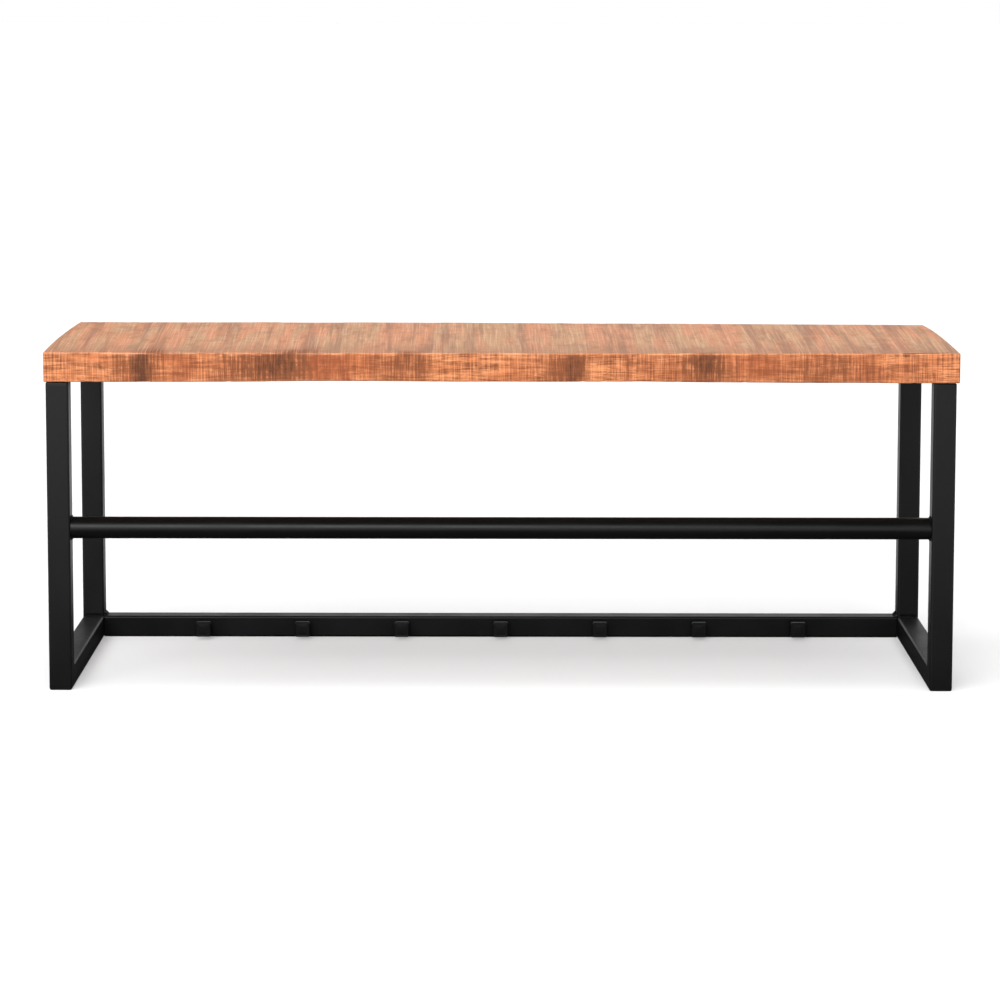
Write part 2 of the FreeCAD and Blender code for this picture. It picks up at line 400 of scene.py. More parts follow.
sawnWood = {
    "light": (0.96, 0.388, 0.167),
    "deep": (0.76, 0.258, 0.101),
    "dark": (0.225, 0.071, 0.028),
    "black": (0.080, 0.029, 0.013),
    "red": (0.40, 0.088, 0.030),
    "rim": (0.66, 0.29, 0.15),
    "topTan": (0.570, 0.338, 0.190),
    "topPink": (0.665, 0.296, 0.162),
    "topBrown": (0.29, 0.145, 0.088),
    "topPale": (0.80, 0.52, 0.34),
    "topBlush": (0.66, 0.275, 0.140),
    "endDark": (0.30, 0.115, 0.055),
    "weave": 0.84,               # how dark the crossed marks are on the sawn sides
    "calmBelow": 0.45,           # and how much of that is left underneath
    "rub": 0.35,                 # pale wood along the rounded edges
    "bands": 0.70,               # broad brown bands on the top
    "blush": 0.55,
    "shade": 0.50,
    "frontPaintedShade": 0.50,          # painted shade: brown along the top's front edge
    "frontPaintedShadeWidth": 0.12,
    "darkLines": 0.30,
    "paleLines": 0.22,
    "grain": 0.34,
    "pores": 0.5,
    "roughness": 0.60,
    "roughGaps": 0.12,           # roughness that the saw marks' hollows add
    "gloss": 0.3,
    "relief": 0.35 * mm,
    "reliefStrength": 0.7,
}


def makeSawnWood():
    # the top, the sides and the ends each mix their own colours, and the normal chooses between them
    look = withAlpha(sawnWood)
    material, tree, surface, place = newMaterial("sawnWood", sawnWood["light"])
    y, z = axesOf(tree, place)[1:]
    facing = axesOf(tree, addNode(tree, "ShaderNodeNewGeometry").outputs["Normal"])
    low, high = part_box("shelf_slab")
    saw = placeGroup(tree, sawMarks, {"Vector": place})
    grain = placeGroup(tree, longGrain, {"Vector": place})
    onTop = spread(tree, facing[2], 0.60, 0.90)
    onEnd = spread(tree, maths(tree, "ABSOLUTE", facing[0]), 0.6, 0.85)
    edge, stain, red = (attribute(tree, name) for name in ("edgeMask", "stain", "redness"))
    gaps = maths(tree, "SUBTRACT", 1.0, saw["Lines"])
    soft = maths(tree, "SUBTRACT", 1.0, grain["Grain"])

    # cloudy change of tone, and a ragged noise that breaks up the stains
    cloud = noiseOf(tree, stretched(tree, place, (26, 40, 62)), 1.0, 4.0, 0.62)
    cloud = spread(tree, cloud, 0.36, 0.64)
    ragged = noiseOf(tree, stretched(tree, place, (150, 60, 95), (3, 1, 5)), 1.0, 4.0, 0.6)
    ragged = spread(tree, ragged, 0.30, 0.66, 0.62, 1.20)
    loose = noiseOf(tree, stretched(tree, place, (30, 13, 46), (9, 4, 2)), 1.0, 4.0, 0.62)
    loose = spread(tree, loose, 0.56, 0.80, 0.0, 0.35)
    stain = times(tree, maths(tree, "MAXIMUM", stain, loose), ragged)
    red = times(tree, red, ragged)

    # sawn sides: upright blade marks crossed by the grain, like a coarse weave
    weave = times(tree, gaps, 0.58, times(tree, soft, 0.76))
    patchy = noiseOf(tree, stretched(tree, place, (38, 30, 75), (1, 8, 3)), 1.0, 3.0, 0.6)
    weave = times(tree, weave, spread(tree, patchy, 0.32, 0.68, 0.62, 1.25))
    weave = times(tree, weave, spread(tree, facing[2], -0.9, -0.6, look["calmBelow"], 1.0))
    lower = spread(tree, z, low.z + 4 * mm, high.z - 10 * mm, 0.72, 1.0)
    crossed = times(tree, gaps, 0.95, times(tree, soft, 0.30, 0.45))
    lined = times(tree, stain, crossed)
    side = layered(tree, look["deep"],
                   (times(tree, cloud, lower), look["light"]),
                   (times(tree, weave, look["weave"]), look["dark"]),
                   (spread(tree, red, 0.0, 0.62, smooth=False), look["red"]),
                   (spread(tree, lined, 0.01, 0.47, smooth=False), look["dark"]),
                   (spread(tree, lined, 0.45, 1.20, 0.0, 0.80), look["black"]),
                   (times(tree, times(tree, edge, cloud), look["rub"]), look["rim"]))

    # sawn top: bands of tan, pink and brown from front to back under fine pale and dark lines
    hue = noiseOf(tree, stretched(tree, place, (44, 2.6, 1), (7, 0, 0)), 1.0, 3.0, 0.7)
    blush = noiseOf(tree, stretched(tree, place, (24, 17, 1), (2, 6, 0)), 1.0, 4.0, 0.65)
    shade = noiseOf(tree, stretched(tree, place, (58, 15, 1), (5, 3, 0)), 1.0, 4.0, 0.7)
    # painted shade: brown that grows towards the top's front edge
    front = spread(tree, y, low.y, low.y + look["frontPaintedShadeWidth"], look["frontPaintedShade"], 0.0)
    top = layered(tree, look["topTan"],
                  (spread(tree, hue, 0.44, 0.56), look["topPink"]),
                  (spread(tree, saw["Bands"], 0.05, 0.50, look["bands"], 0.0), look["topBrown"]),
                  (spread(tree, blush, 0.52, 0.68, 0.0, look["blush"]), look["topBlush"]),
                  (spread(tree, shade, 0.50, 0.64, 0.0, look["shade"]), look["topBrown"]),
                  (front, look["topBrown"]),
                  (times(tree, gaps, look["darkLines"]), look["topBrown"]),
                  (spread(tree, saw["Lines"], 0.75, 1.0, 0.0, look["paleLines"]), look["topPale"]),
                  (times(tree, soft, look["grain"]), look["topBrown"]),
                  (spread(tree, lined, 0.03, 0.75, smooth=False), look["dark"]))

    # end grain: wavy rings round a point below the board, under saw marks and pores
    ringAt = stretched(tree, place, (1, 1, 1), (0, 0.04, -0.26))
    waves = {"Vector": ringAt, "Scale": 74.0, "Distortion": 7.0, "Detail": 3.0, "Detail Scale": 0.35}
    rings = addNode(tree, "ShaderNodeTexWave", waves, wave_type="RINGS", rings_direction="X").outputs[1]
    bladed = noiseOf(tree, stretched(tree, place, (1, 420, 22)), 1.0, 2.0)
    speckle = noiseOf(tree, place, 900.0, 2.0)
    end = layered(tree, look["endDark"],
                  (spread(tree, rings, 0.05, 0.95, 0.48, 0.95, False), look["deep"]),
                  (spread(tree, bladed, 0.50, 0.68, 0.0, 0.45), look["dark"]),
                  (spread(tree, speckle, 0.50, 0.66, 0.0, 0.5), look["dark"]),
                  (spread(tree, blush, 0.45, 0.62, 0.0, 0.4), look["endDark"]))

    colour = layered(tree, side, (onTop, top), (onEnd, end),
                     (times(tree, grain["Pores"], look["pores"]), look["dark"]))
    height = times(tree, grain["Grain"], 0.25, saw["Height"])
    height = times(tree, grain["Pores"], -0.35, height)
    roughest = look["roughness"] + look["roughGaps"]
    rough = spread(tree, saw["Lines"], 0.0, 1.0, roughest, look["roughness"], False)
    finish(tree, surface, look, colour, rough, height)
    return material


zincFinish = {
    "colour": (0.62, 0.62, 0.60),
    "tarnish": (0.40, 0.39, 0.36),
    "roughness": (0.28, 0.5),
    "gloss": 0.5,
    "relief": 0.03 * mm,
    "reliefStrength": 0.3,
}


def makeZinc():
    # bright zinc, clouded by tarnish
    look = withAlpha(zincFinish)
    material, tree, surface, place = newMaterial("zincPlate", zincFinish["colour"])
    coat = placeGroup(tree, coatGrain, {"Vector": place, "Peel": 1500.0, "Cloud": 240.0})
    colour = mixColour(tree, coat["Cloud"], look["colour"], look["tarnish"])
    rough = spread(tree, coat["Cloud"], 0.0, 1.0, *look["roughness"], False)
    finish(tree, surface, look, colour, rough, coat["Height"])
    surface.inputs["Metallic"].default_value = 1.0
    return material


tubeBlack = makeBlackCoat("satinBlackTube")
rodBlack = makeBlackCoat("satinBlackRod", peel=800.0, dustAmount=0.04, roughShift=-0.03)
weldBlack = makeBlackCoat("satinBlackWeld", peel=1300.0, dustAmount=0.25, roughShift=0.04)
pegBlack = makeBlackCoat("satinBlackPeg", peel=1000.0, dustAmount=0.3)
barBlack = makeBlackCoat("satinBlackBar", peel=850.0, dustAmount=0.0, roughShift=0.03)
boardWood = makeSawnWood()
zincPlate = makeZinc()
print("finishes made:", len(bpy.data.materials))


# square tube of the frame

tubeShape = {
    "cornerRadius": 2.5 * mm,
    "seamDepth": 0.12 * mm,      # fine line left where a ground weld was painted over
    "seamWidth": 0.7 * mm,
    "flatShares": (0.02, 0.5, 0.98),
    "seamSteps": (0.0, 0.25, 0.55, 1.0, 2.0),    # rings near each end, in seam widths
}


def tubePoints(nodeName, along, slopeStart, slopeEnd):
    # square outline carried along a straight path; each end is cut on a plane, so the path's start and
    # end change in step with the outline's second coordinate: slope 1 or -1 is a mitre, 0 a square cut
    shape = tubeShape
    low, high = asArrays(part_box(nodeName))
    centre = (low + high) / 2
    axisC = np.eye(3)[along]
    axisA, axisB = {0: (yAxis, zAxis), 1: (xAxis, zAxis), 2: (xAxis, yAxis)}[along]
    half = float((high - low) @ axisA) / 2
    length = float(high[along] - low[along])
    near = np.array(shape["seamSteps"]) * shape["seamWidth"] / length
    share = np.concatenate([near, np.linspace(0.02, 0.98, 9), 1 - near[::-1]])[:, None]
    fromEnd = np.minimum(share, 1 - share) * length
    depth = shape["seamDepth"] * np.exp(-(fromEnd / shape["seamWidth"] * 2) ** 2)
    size = (half - depth)[:, 0]
    a, b, rounded = outline(size, size, shape["cornerRadius"], shape["flatShares"], shape["flatShares"])
    start = (half + slopeStart * b) if slopeStart else np.zeros_like(b)
    end = length - ((half + slopeEnd * b) if slopeEnd else np.zeros_like(b))
    c = start + (end - start) * share
    origin = centre - axisC * length / 2
    return shell(a, b, c, origin, axisA, axisB, axisC), rounded


def makeTube(name, nodeName, along, slopeStart=0, slopeEnd=0):
    # one tube; the edge mask lies on its rounded corners
    points, rounded = tubePoints(nodeName, along, slopeStart, slopeEnd)
    return makePiece(name, [closed(points, rounded[None, :])], nodeName, tubeBlack)


for side in sides:
    makeTube("frontPost_" + side, "front_post_" + side, 2, slopeStart=1)
    makeTube("rearPost_" + side, "rear_post_" + side, 2, slopeStart=-1)
    makeTube("sideRail_" + side, "side_rail_" + side, 1, slopeStart=1, slopeEnd=1)
makeTube("hookRail", "hook_rail", 0)
print("square tubes made: 7")


# plates with eased edges: post caps and peg heads

capShape = {"corner": 2.5 * mm, "edge": 2.2 * mm, "backEdge": 0.15 * mm, "crown": 0.0}
headShape = {"corner": 2.2 * mm, "edge": 2.0 * mm, "backEdge": 0.6 * mm, "crown": 0.25 * mm}


def easedPlate(half, thickness, shape, steps=8):
    # rings from the back's middle to the front's middle: the outline grows round the back edge, runs
    # straight, and shrinks round the front edge by a quarter circle; the front bulges by the crown
    edge, backEdge = shape["edge"], shape["backEdge"]
    turn = np.linspace(0, pi / 2, steps)
    inset = np.concatenate([[half * 0.6, backEdge * 1.6], backEdge * (1 - np.sin(turn)),
                            edge * (1 - np.cos(turn)), [edge * 1.25, half * 0.45, half * 0.8]])
    height = np.concatenate([[0.0, 0.0], backEdge * (1 - np.cos(turn)),
                             thickness - edge + edge * np.sin(turn), [thickness] * 3])
    front = np.concatenate([np.zeros(2 + 2 * steps), [0.15, 0.7, 1.0]])
    height = height - shape["crown"] * (1 - front) * (height > thickness - 1e-6)
    flats = (0.04, 0.5, 0.96)
    a, b, rounded = outline(half - inset, half - inset, np.maximum(shape["corner"] - inset, 0.2 * mm),
                            flats, flats)
    eased = np.concatenate([np.zeros(2), np.ones(2 * steps), np.zeros(3)])
    mask = np.maximum(rounded[None, :] * 0.8, eased[:, None])
    return a, b, np.broadcast_to(height[:, None], a.shape), mask


def makeCap(name, nodeName):
    # an eased plate facing up
    low, high = asArrays(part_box(nodeName))
    half = (high[0] - low[0]) / 2
    a, b, c, mask = easedPlate(half, high[2] - low[2], capShape)
    origin = [(low[0] + high[0]) / 2, (low[1] + high[1]) / 2, low[2]]
    points = shell(a, b, c, origin, xAxis, yAxis, zAxis)
    return makePiece(name, [closed(points, mask)], nodeName, tubeBlack)


for side in sides:
    makeCap("frontPostCap_" + side, "front_post_cap_" + side)
    makeCap("rearPostCap_" + side, "rear_post_cap_" + side)
print("post caps made: 4")


# pegs

pinShape = {"flare": 1.1 * mm, "flareLength": 1.0 * mm, "around": 40}


def makePeg(number):
    # head: an eased plate facing the front
    name = "_" + str(number)
    low, high = asArrays(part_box("peg_head" + name))
    centre = (low + high) / 2
    half = (high[0] - low[0]) / 2
    a, b, c, mask = easedPlate(half, high[1] - low[1], headShape)
    points = shell(a, b, c, [centre[0], high[1], centre[2]], xAxis, zAxis, -yAxis)
    makePiece("pegHead" + name, [closed(points, mask)], "peg_head" + name, pegBlack)

    # pin: a circle carried along Y, its radius growing towards the rail where it is welded on
    low, high = asArrays(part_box("peg_pin" + name))
    length, radius = high[1] - low[1], (high[0] - low[0]) / 2
    place = np.concatenate([np.linspace(0, 0.6, 5), np.linspace(0.66, 1, 12)])[:, None] * length
    size = radius + pinShape["flare"] * np.exp((place - length) / pinShape["flareLength"])
    angle = circle(pinShape["around"])
    points = shell(size * np.cos(angle), size * np.sin(angle), place,
                   [centre[0], low[1], centre[2]], xAxis, zAxis, yAxis)
    makePiece("pegPin" + name, [closed(points)], "peg_pin" + name, pegBlack)


for number in range(1, 8):
    makePeg(number)
print("pegs made: 7")


# hanging rod and its welds

rodShape = {"around": 72, "endEase": 0.3 * mm, "endEaseLength": 0.4 * mm}


def makeRod():
    # circle carried along X, drawn in a little at each end
    low, high = asArrays(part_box("hanging_rod"))
    centre, radius, length = (low + high) / 2, (high[2] - low[2]) / 2, high[0] - low[0]
    near = np.array([0.0, 0.3, 0.8, 2.0]) * mm / length
    share = np.concatenate([near, np.linspace(0.02, 0.98, 25), 1 - near[::-1]])[:, None]
    fromEnd = np.minimum(share, 1 - share) * length
    size = radius - rodShape["endEase"] * np.exp(-fromEnd / rodShape["endEaseLength"])
    angle = circle(rodShape["around"])
    points = shell(size * np.cos(angle), size * np.sin(angle), share * length,
                   [low[0], centre[1], centre[2]], yAxis, zAxis, xAxis)
    return makePiece("hangingRod", [closed(points)], "hanging_rod", rodBlack)


beadShape = {
    "rodSize": 1.25 * mm,
    "rodReach": radians(40),
    "ripplePitch": 1.5 * mm,
    "rippleDepth": 0.12,
    "swell": 0.06,
    "bulge": 0.10,               # how far a fillet stands out of its straight slope
    "footLeg": 3.4 * mm,
    "footMargin": 2.0 * mm,
    "seed": 11,
}


def ripples(place, seed):
    # overlapping scales of a weld: a rounded saw-tooth with a slow random swell
    scale = 1 - beadShape["rippleDepth"] * (place / beadShape["ripplePitch"] % 1) ** 1.5
    return scale * (1 + beadShape["swell"] * smoothNoise(place, 4 * mm, seed))


def makeRodBeads(side, sign):
    # small circle carried round the rod's end, over it and under it, tapering out at both ends
    nodeName = "rod_weld_" + side
    low, high = asArrays(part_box(nodeName))
    rodLow, rodHigh = asArrays(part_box("hanging_rod"))
    centre, radius = (rodLow + rodHigh) / 2, (rodHigh[2] - rodLow[2]) / 2
    face = low[0] if sign < 0 else high[0]
    parts = []
    for top in (1, -1):
        along = np.linspace(-1, 1, 70)[:, None]
        angle = top * pi / 2 + along * beadShape["rodReach"]
        taper = np.sqrt(np.maximum(1 - along ** 8, 0.02))
        seed = beadShape["seed"] + top + sign * 3
        size = beadShape["rodSize"] * taper * ripples((along + 1) * 9 * mm, seed)
        turn = circle(16)
        away = radius + 0.35 * beadShape["rodSize"] + size * np.cos(turn)
        across = face - sign * (0.45 * beadShape["rodSize"] + size * np.sin(turn))
        points = np.stack([np.broadcast_to(across, away.shape), centre[1] + away * np.cos(angle),
                           centre[2] + away * np.sin(angle)], -1)
        points[..., 0] = np.clip(points[..., 0], low[0], high[0])
        parts.append(closed(points))
    return makePiece("rodWeld_" + side, parts, nodeName, weldBlack)


def filletBead(corner, leg, length, seed, axisA, axisB, axisC):
    # section of a fillet weld: the corner, then a nearly straight slope, carried along the third axis
    along = np.linspace(0, 1, 60)[:, None]
    taper = np.sqrt(np.maximum(1 - (2 * along - 1) ** 10, 0.05))
    size = leg * 0.96 * taper * ripples(along * length, seed)
    turn = np.linspace(0, pi / 2, 11)[None, :]
    slope = 1 / (np.cos(turn) + np.sin(turn)) * (1 + beadShape["bulge"] * np.sin(2 * turn))
    a = np.hstack([np.zeros_like(size), size * slope * np.cos(turn)])
    b = np.hstack([np.zeros_like(size), size * slope * np.sin(turn)])
    return shell(a, b, along * length, corner, axisA, axisB, axisC)


def makeRailBead(side, sign):
    # between the post and the top of the hook rail, from front to back
    nodeName = "hook_rail_weld_" + side
    low, high = asArrays(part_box(nodeName))
    corner = [low[0] if sign < 0 else high[0], low[1], low[2]]
    bead = filletBead(corner, high[2] - low[2], high[1] - low[1], beadShape["seed"] + sign,
                      -sign * xAxis, zAxis, yAxis)
    return makePiece("hookRailWeld_" + side, [closed(bead)], nodeName, weldBlack)


def makeFootBead(side, sign):
    # across the front of the rear post's foot, on top of the side rail
    low, high = asArrays(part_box("rear_post_" + side))
    margin = beadShape["footMargin"]
    corner = [low[0] + margin, low[1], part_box("side_rail_" + side)[1].z]
    bead = filletBead(corner, beadShape["footLeg"], high[0] - low[0] - 2 * margin,
                      beadShape["seed"] + 5 + sign, -yAxis, zAxis, xAxis)
    return makePiece("footWeld_" + side, [closed(bead)], None, barBlack)


makeRod()
for side, sign in sides.items():
    makeRodBeads(side, sign)
    makeRailBead(side, sign)
    makeFootBead(side, sign)
print("rod and weld beads made: 7")


# sawn shelf

slabShape = {
    "stations": 860,
    "acrossTop": 36,
    "acrossBottom": 12,
    "acrossSide": 10,
    "edgeRadius": 1.5 * mm,
    "endBow": {-1: 3.2 * mm, 1: 1.9 * mm},      # how much the middle of each end stands out
    "endSetback": {-1: 0.0, 1: 0.1 * mm},
    "endRadius": 1.8 * mm,
    "washboard": 0.10 * mm,      # depth of the broad saw ridges
    "washPitch": 5.2 * mm,
    "edgeWander": 0.9 * mm,      # how far the arrises wander
    "slowWear": (55 * mm, 0.7),  # pitch and share of the long waves of the arrises
    "splinters": (8 * mm, 0.6),
    "splinterFrom": 0.35,
    "backDroop": 2.2 * mm,       # the back right corner is planed down a little
    "bellyLift": 1.3 * mm,       # the underside is a little hollow on either side of the middle
    "hollows": ((-165, 150, 1.0), (130, 130, 0.9)),     # place and half width in mm, share of the lift
    # distances behind the front edge, in mm, of the close rows of points that carry the split
    "frontSteps": (14.4, 13.2, 12, 10.9, 9.8, 8.7, 7.7, 6.8, 6, 5.2, 4.4, 3.6, 2.8, 2, 1.2, 0.6),
    "splitDepth": 0.8 * mm,
    # how dark the split is drawn, in the units of the stain mask
    "splitDarkness": 1.6,
    # the split, in mm: from start to stop it lies so far behind the edge, bent back by curl at its
    # right end and forward by lead at its left end
    "split": {"start": 434, "stop": 489, "behind": 3.6, "width": 2.1,
              "curl": 7.5, "curlFrom": 466, "curlOver": 22, "lead": 2.2, "leadFrom": 452, "leadOver": 16},
    "seed": 5,
    "stainPower": 2.2,           # more than 2 gives a stain steeper sides than a bell curve
    "stainFade": 0.72,           # in heights of the front face
    "redThins": 0.55,            # share of the dark that a wholly red stain loses
    # stains along the front: place and half width in mm, strength, redness, and how far down the face
    "stains": [(-414, 17, 0.30, 0.2, 0.5), (-392, 9, 1.15, 0.0, 0.40), (-378, 17, 0.38, 0.1, 0.55),
               (-346, 16, 0.34, 0.9, 0.4), (-302, 22, 0.38, 0.3, 0.6), (-266, 24, 0.54, 0.1, 0.40),
               (-236, 21, 0.76, 0.0, 0.38), (-202, 18, 0.60, 1.0, 0.4), (-174, 15, 0.40, 0.9, 0.4),
               (-142, 16, 0.30, 0.7, 0.5), (-112, 20, 0.38, 0.3, 0.5), (-88, 17, 0.30, 0.1, 0.5),
               (60, 19, 0.34, 0.1, 0.5), (80, 12, 0.78, 0.0, 0.5), (24, 18, 0.14, 0.5, 0.5),
               (137, 4, 0.40, 0.6, 0.5), (154, 16, 0.24, 0.6, 0.5), (188, 16, 0.34, 0.8, 0.5),
               (222, 21, 0.74, 0.0, 0.42), (258, 20, 0.34, 0.8, 0.5), (290, 20, 0.38, 0.9, 0.4),
               (318, 16, 0.22, 0.6, 0.4), (338, 16, 0.38, 0.4, 0.6), (366, 16, 0.42, 0.4, 0.45),
               (396, 14, 0.48, 0.6, 0.6), (446, 26, 0.20, 0.6, 0.6),
               (-470, 26, 0.14, 0.4, 0.5)],
    # places where a front stain runs on over the edge onto the top: place, half width, length, strength
    "runs": [(-385, 16, 26, 0.55), (-374, 8, 46, 0.35), (-226, 20, 30, 0.75), (-205, 10, 60, 0.3),
             (-100, 14, 18, 0.5), (68, 12, 8, 0.2), (225, 18, 10, 0.25), (330, 12, 12, 0.2)],
}


def stainMasks(x, down, onTop):
    # sum of bell curves along the board; each one also fades away from its own height on the front face,
    # and on the top it fades with the distance behind the front edge
    stain, red = np.zeros_like(x), np.zeros_like(x)
    for place, half, strength, redness, height in slabShape["stains"]:
        bell = np.exp(-np.abs((x / mm - place) / half) ** slabShape["stainPower"])
        fade = np.exp(-((down - height) / slabShape["stainFade"]) ** 2)
        stain += bell * fade * strength * (1 - slabShape["redThins"] * redness)
        red += bell * fade * strength * redness
    stain, red = stain * ~onTop, red * ~onTop
    for place, half, length, strength in slabShape["runs"]:
        bell = np.exp(-((x / mm - place) / half) ** 2)
        stain += bell * strength * np.exp(-(down / length) ** 2) * onTop
    return stain, red


def splitMask(x, behind):
    # bell curve across a line that runs near the front edge and bends back, away from it, on the right
    split, along = slabShape["split"], x / mm
    curl = np.clip((along - split["curlFrom"]) / split["curlOver"], 0, 1) ** 2
    lead = np.clip((split["leadFrom"] - along) / split["leadOver"], 0, 1)
    line = split["behind"] + split["curl"] * curl - split["lead"] * lead
    ends = np.clip((along - split["start"]) / 4, 0, 1) * np.clip((split["stop"] - along) / 2, 0, 1)
    return np.exp(-((behind - line) / split["width"]) ** 2) * ends


def markStains(piece, low, high):
    # the two masks follow the finished points: place along the board, and way down from the front edge
    spots = np.empty(len(piece.data.vertices) * 3, np.float32)
    piece.data.vertices.foreach_get("co", spots)
    spots = spots.reshape(-1, 3)
    top = spots[:, 2] > high[2] - 2.5 * mm
    behind = (spots[:, 1] - low[1]) / mm
    down = np.where(top, behind, (high[2] - spots[:, 2]) / (high[2] - low[2]) + behind * 0.02)
    stain, red = stainMasks(spots[:, 0], down, top)
    # the split is drawn dark through the stain mask
    stain = np.maximum(stain, slabShape["splitDarkness"] * splitMask(spots[:, 0], behind) * top)
    for name, values in (("stain", stain), ("redness", red)):
        mask = piece.data.attributes.new(name, "FLOAT", "POINT")
        mask.data.foreach_set("value", values.astype(np.float32))


def makeSlab():
    # rounded rectangle in Y and Z carried along X; every point is then drawn inwards by the saw ridges,
    # by the wandering of the edges, by the droop of the back right corner and by the hollow underside
    shape = slabShape
    low, high = asArrays(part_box("shelf_slab"))
    centre = (low + high) / 2
    halfY, halfZ = (high[1] - low[1]) / 2, (high[2] - low[2]) / 2
    turn = np.linspace(0, pi / 2, 7)
    radiusEnd = shape["endRadius"]
    shrink = np.linspace(0, 0.96, 11)[1:]
    stepEnd = np.concatenate([radiusEnd * np.sin(turn), np.full(len(shrink), radiusEnd)])
    body = np.linspace(-1, 1, shape["stations"])
    insets = []
    for half in (halfY, halfZ):
        insetEnd = np.concatenate([radiusEnd * (1 - np.cos(turn)), radiusEnd + (half - radiusEnd) * shrink])
        insets.append(np.concatenate([insetEnd[::-1], np.zeros(len(body) - 2), insetEnd]))
    reach = np.concatenate([-stepEnd[::-1], np.zeros(len(body) - 2), stepEnd])[:, None]
    place = np.concatenate([np.full(len(stepEnd), -1.0), body[1:-1], np.full(len(stepEnd), 1.0)])[:, None]
    inner = np.abs(place) < 0.9999
    nearFront = 1 - np.array(shape["frontSteps"]) * mm / (2 * halfY)
    topShares = np.concatenate([[0.004], np.linspace(0, 0.955, shape["acrossTop"])[1:], nearFront])
    sideShares = np.concatenate([[0.03], np.linspace(0, 1, shape["acrossSide"])[1:-1], [0.97]])
    bottomShares = np.linspace(0.01, 0.99, shape["acrossBottom"])
    radius = np.maximum(shape["edgeRadius"] - insets[0], 0.02 * mm)
    a, b, rounded = outline(halfY - insets[0], halfZ - insets[1], radius, topShares, sideShares, 5,
                            bottomShares)
    bow, setback = (np.where(place < 0, shape[key][-1], shape[key][1])
                    for key in ("endBow", "endSetback"))
    halfLength = (high[0] - low[0]) / 2 - setback - bow * (a / halfY) ** 2
    x = place * (halfLength - radiusEnd) + reach
    seed = shape["seed"]

    # broad ridges across the board: a sine wave along it, with a wandering phase and height
    wave = 0.5 + 0.5 * np.sin(2 * pi * x / shape["washPitch"] + 3 * smoothNoise(x, 60 * mm, seed))
    wave = wave * (0.55 + 0.45 * smoothNoise(x, 35 * mm, seed + 1))
    wave = wave * (0.7 + 0.3 * smoothNoise(a, 50 * mm, seed + 2))
    depth = shape["washboard"] * np.abs(wave) * inner
    onTop = b > halfZ - 0.5 * mm
    onBottom = b < -halfZ + 0.5 * mm
    onFront = a < -halfY + 0.5 * mm
    onBack = a > halfY - 0.5 * mm

    # the four arrises wander, each in its own way, and here and there a splinter is missing
    nearEdge = np.exp(-((halfZ - np.abs(b)) / (4 * mm)) ** 2)
    nearEdge = nearEdge * np.exp(-((halfY - np.abs(a)) / (4 * mm)) ** 2)
    which = (a > 0) * 2 + (b > 0)
    (slowPitch, slowShare), (quickPitch, quickShare) = shape["slowWear"], shape["splinters"]
    wander = np.zeros_like(x)
    for edge in range(4):
        slow = 0.5 + 0.5 * smoothNoise(x, slowPitch, seed + 10 + edge)
        quick = np.maximum(smoothNoise(x, quickPitch, seed + 20 + edge) - shape["splinterFrom"], 0)
        wander += (which == edge) * (slowShare * slow + quickShare * quick)
    wander = wander * shape["edgeWander"] * nearEdge * inner
    newB = b - np.sign(b) * (wander + depth * (onTop | onBottom))
    newA = a - np.sign(a) * (0.4 * wander + depth * (onFront | onBack))

    # the top falls towards the back right corner, the underside rises in the hollows, the split opens
    share = np.clip((a / halfY - 0.2) / 0.8, 0, 1) ** 2 * np.clip((x / 0.5 + 0.1) / 1.1, 0, 1)
    newB = newB - shape["backDroop"] * share * np.clip(b / halfZ, 0, 1)
    hollow = sum(part * np.exp(-((x / mm - middle) / half) ** 2)
                 for middle, half, part in shape["hollows"])
    newB = newB + shape["bellyLift"] * hollow * np.clip(-b / halfZ, 0, 1)
    newB = newB - shape["splitDepth"] * splitMask(x, (a + halfY) / mm) * onTop
    points = shell(newA, newB, x, centre, yAxis, zAxis, xAxis)
    piece = makePiece("sawnShelf", [closed(points, rounded[None, :] * inner)], "shelf_slab", boardWood,
                      mergeDoubles=True)
    markStains(piece, low, high)
    return piece


shelf = makeSlab()
print("shelf made:", len(shelf.data.polygons), "faces")


# wood screws under the shelf

screwShape = {
    "around": 48,
    "crossHalfWidth": 0.55 * mm,
    "crossReach": 2.4 * mm,
    "crossDepth": 1.5 * mm,
    "domeShare": 0.55,           # share of the head's height that is rounded
    "domePower": 3.2,
    "shankShare": 0.5,           # of the head's radius
    "tipRadius": 0.1 * mm,
    "shankDepths": (10 * mm, 20 * mm, 23.8 * mm),
}


def makeScrews(side):
    # surface of revolution: radius and height follow the screw's outline from the head's middle to the tip,
    # and the head sinks where a point lies in one of the two crossed slots
    nodeName = "slab_screws_" + side
    low, high = asArrays(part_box(nodeName))
    shape = screwShape
    radius = (high[0] - low[0]) / 2
    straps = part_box("slab_strap_" + side)
    underside = straps[0].z
    headHeight = underside - low[2]
    middleX = (low[0] + high[0]) / 2
    first, last = low[1] + radius, high[1] - radius
    dome = np.linspace(0.02, 1, 18)
    shank = radius * shape["shankShare"]
    reach = np.concatenate([dome * radius, [radius, shank, shank, shank, shape["tipRadius"]]])
    drop = np.concatenate([headHeight * (1 - shape["domeShare"] * dome ** shape["domePower"]), [0, 0],
                           [-depth for depth in shape["shankDepths"]]])
    angle = circle(shape["around"])
    a, b = reach[:, None] * np.cos(angle), reach[:, None] * np.sin(angle)
    thin = np.minimum(np.abs(a), np.abs(b))
    far = np.maximum(np.abs(a), np.abs(b))
    slot = np.clip(1.4 - thin / shape["crossHalfWidth"], 0, 1)
    slot = slot * np.clip((shape["crossReach"] - far) / (0.7 * mm), 0, 1)
    head = (np.arange(len(reach)) < len(dome))[:, None]
    c = drop[:, None] - shape["crossDepth"] * slot * head
    parts = []
    for share in (0, 0.5, 1):
        origin = [middleX, first + (last - first) * share, underside]
        parts.append(closed(shell(a, b, c, origin, xAxis, yAxis, -zAxis)))
    return makePiece("slabScrews_" + side, parts, nodeName, zincPlate)


for side in sides:
    makeScrews(side)
print("wood screws made: 6")


